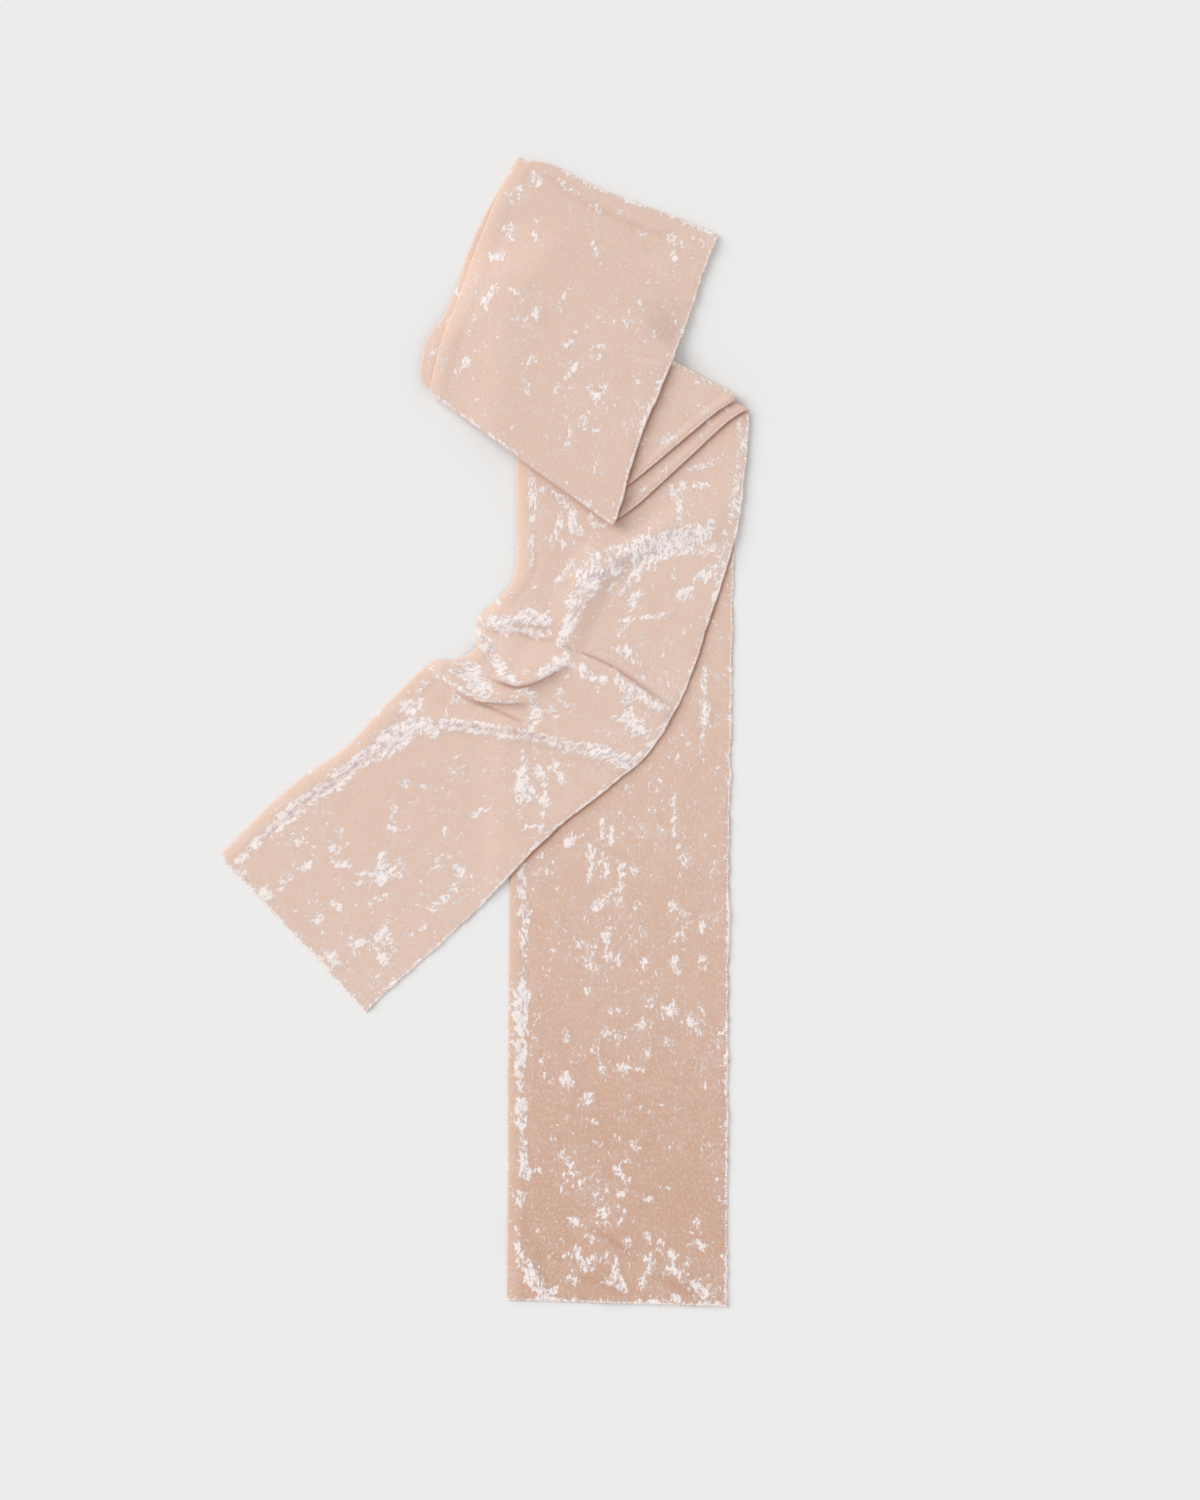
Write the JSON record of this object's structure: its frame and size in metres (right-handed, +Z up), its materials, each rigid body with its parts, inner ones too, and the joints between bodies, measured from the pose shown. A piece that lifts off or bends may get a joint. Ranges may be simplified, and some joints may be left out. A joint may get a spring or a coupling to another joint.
{
  "type": "velvet scarf",
  "caption": "Long narrow crushed velvet scarf laid flat, turned and doubled back at the top, with a straight tail and a shorter bent tail with gathers",
  "frame": {"origin": "on the surface that the scarf lies on, under the middle of the whole layout's box", "axes": "+Z up from the surface, +Y from the long tail's hem towards the loop, +X to the right seen from above with the loop at the top"},
  "size_m": [0.3904, 0.8451, 0.0159],
  "materials": {
    "velvet_long_tail": "peach crushed velvet, the pile warmer and deeper towards the hem",
    "velvet_short_tail": "peach crushed velvet with silvery crushed streaks along the gathers",
    "velvet_turn": "peach crushed velvet, soft pile",
    "velvet_loop": "peach crushed velvet with small silvery flecks"
  },
  "bodies": {
    "root": {"long_tail": "velvet_long_tail", "short_tail": "velvet_short_tail", "turn_lower": "velvet_turn", "turn_upper": "velvet_turn", "hidden_turn": "velvet_turn", "loop_back": "velvet_loop", "loop_front": "velvet_loop"}
  },
  "joints": []
}
